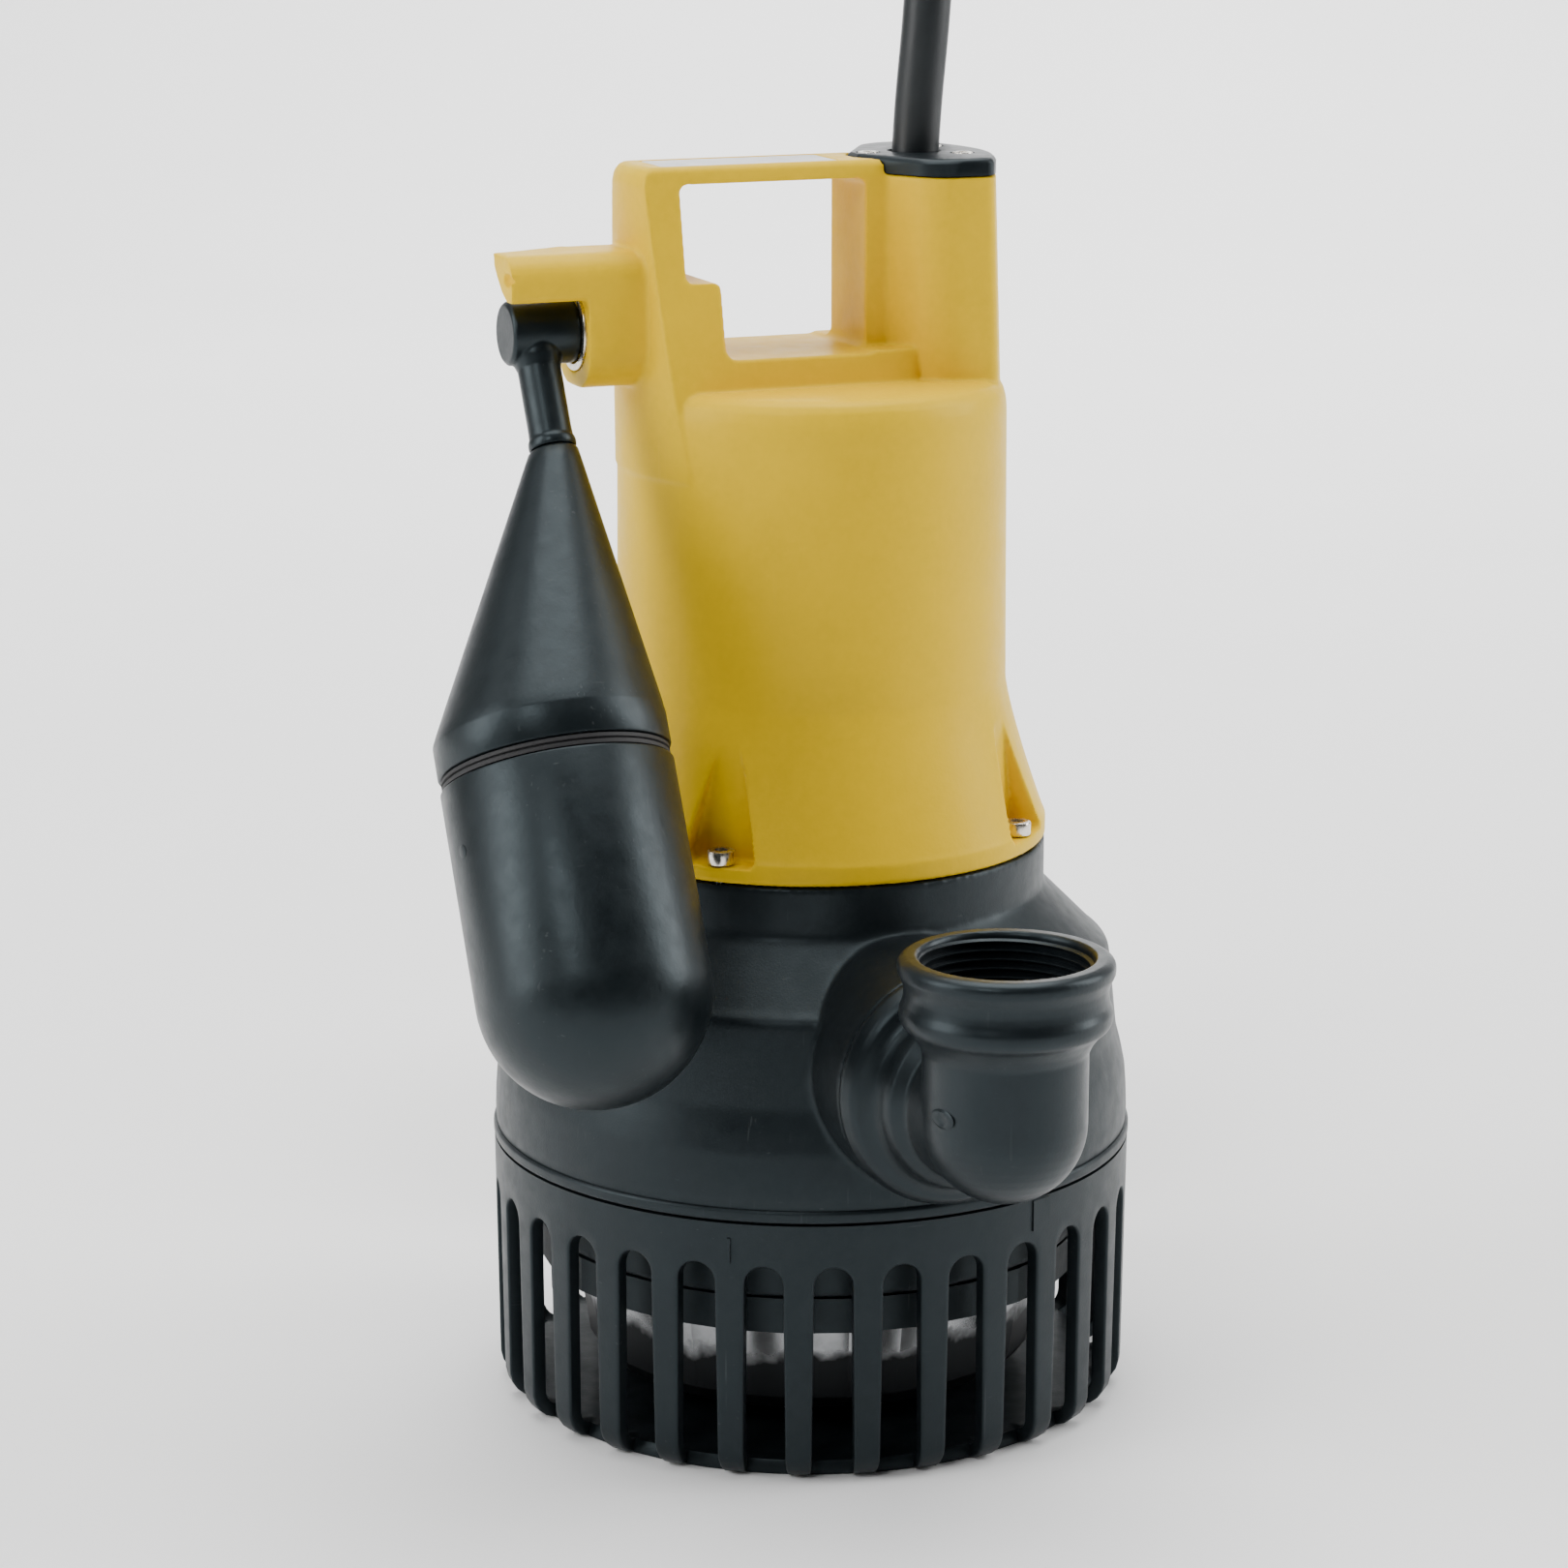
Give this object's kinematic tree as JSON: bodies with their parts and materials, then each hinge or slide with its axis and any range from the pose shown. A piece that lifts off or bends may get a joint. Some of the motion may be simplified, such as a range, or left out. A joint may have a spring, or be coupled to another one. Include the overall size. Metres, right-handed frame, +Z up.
{
  "type": "submersible drainage pump",
  "caption": "Submersible drainage pump with a slotted strainer base, yellow motor hood with carrying handle, swing-arm float switch and upturned threaded outlet elbow.",
  "frame": {"origin": "on the pump's vertical axis at the level it stands on, in the middle of the strainer's foot pad", "axes": "+Z up along the motor axis, -Y towards the discharge elbow, -X towards the float bracket, +X towards the cable tower"},
  "size_m": [0.2673, 0.4348, 0.4275],
  "materials": {
    "black_plastic": "satin moulded thermoplastic, fine grain",
    "float_plastic": "smooth satin blow-moulded plastic",
    "yellow_plastic": "satin glass-filled plastic, warm yellow",
    "seal_rubber": "plain black rubber",
    "cable_rubber": "matt cable rubber",
    "stainless_sheet": "drawn stainless sheet",
    "stainless_screw": "bright stainless",
    "laminated_iron": "laminated electrical steel",
    "copper_winding": "enamelled copper winding",
    "cast_aluminium": "as cast",
    "seal_ceramic": "ceramic and carbon seal faces",
    "switch_plastic": "moulded engineering plastic",
    "bush_nylon": "natural nylon",
    "label_foil": "blank matt foil",
    "plug_brass": "bare brass"
  },
  "bodies": {
    "pump": {"strainer_basket": "black_plastic", "pump_housing": "black_plastic", "discharge_elbow": "black_plastic", "cable_cap": "black_plastic", "power_plug": "black_plastic", "motor_hood": "yellow_plastic", "hood_o_ring": "seal_rubber", "cable_gland": "seal_rubber", "power_cable": "cable_rubber", "cable_coil": "cable_rubber", "cable_tail": "cable_rubber", "suction_bowl": "stainless_sheet", "wear_plate": "black_plastic", "motor_can": "stainless_sheet", "lower_bearing": "stainless_sheet", "upper_bearing": "stainless_sheet", "suction_screw_1": "stainless_screw", "suction_screw_2": "stainless_screw", "suction_screw_3": "stainless_screw", "flap_pin": "stainless_screw", "hinge_pin": "stainless_screw", "arm_washer": "stainless_screw", "hood_screw_1": "stainless_screw", "hood_screw_2": "stainless_screw", "hood_screw_3": "stainless_screw", "hood_screw_4": "stainless_screw", "cap_screw_1": "stainless_screw", "cap_screw_2": "stainless_screw", "cap_screw_3": "stainless_screw", "stator_core": "laminated_iron", "stator_winding_lower": "copper_winding", "stator_winding_upper": "copper_winding", "lower_bearing_bracket": "cast_aluminium", "upper_bearing_bracket": "cast_aluminium", "seal_carrier": "cast_aluminium", "shaft_seal": "seal_ceramic", "run_capacitor": "switch_plastic", "float_microswitch": "switch_plastic", "pivot_bush": "bush_nylon", "handle_label": "label_foil", "plug_pin_1": "plug_brass", "plug_pin_2": "plug_brass"},
    "float": {"float_arm": "float_plastic", "float_cone": "float_plastic", "float_bulb": "float_plastic", "float_seal_ring": "seal_rubber"},
    "rotor": {"rotor_shaft": "stainless_sheet", "rotor_core": "laminated_iron", "impeller": "switch_plastic", "impeller_nut": "stainless_screw"},
    "flap": {"check_flap": "seal_rubber"}
  },
  "joints": [
    {"name": "float_swing", "type": "hinge", "parent": "pump", "child": "float", "pos_m": [-0.0757, 0, 0.2866], "axis": [-1, 0, 0], "range_deg": [0, 62]},
    {"name": "rotor_spin", "type": "hinge", "parent": "pump", "child": "rotor", "pos_m": [0, 0, 0.1], "axis": [0, 0, 1], "continuous": true},
    {"name": "flap_lift", "type": "hinge", "parent": "pump", "child": "flap", "pos_m": [0, -0.1112, 0.1215], "axis": [-1, 0, 0], "range_deg": [0, 60]}
  ]
}
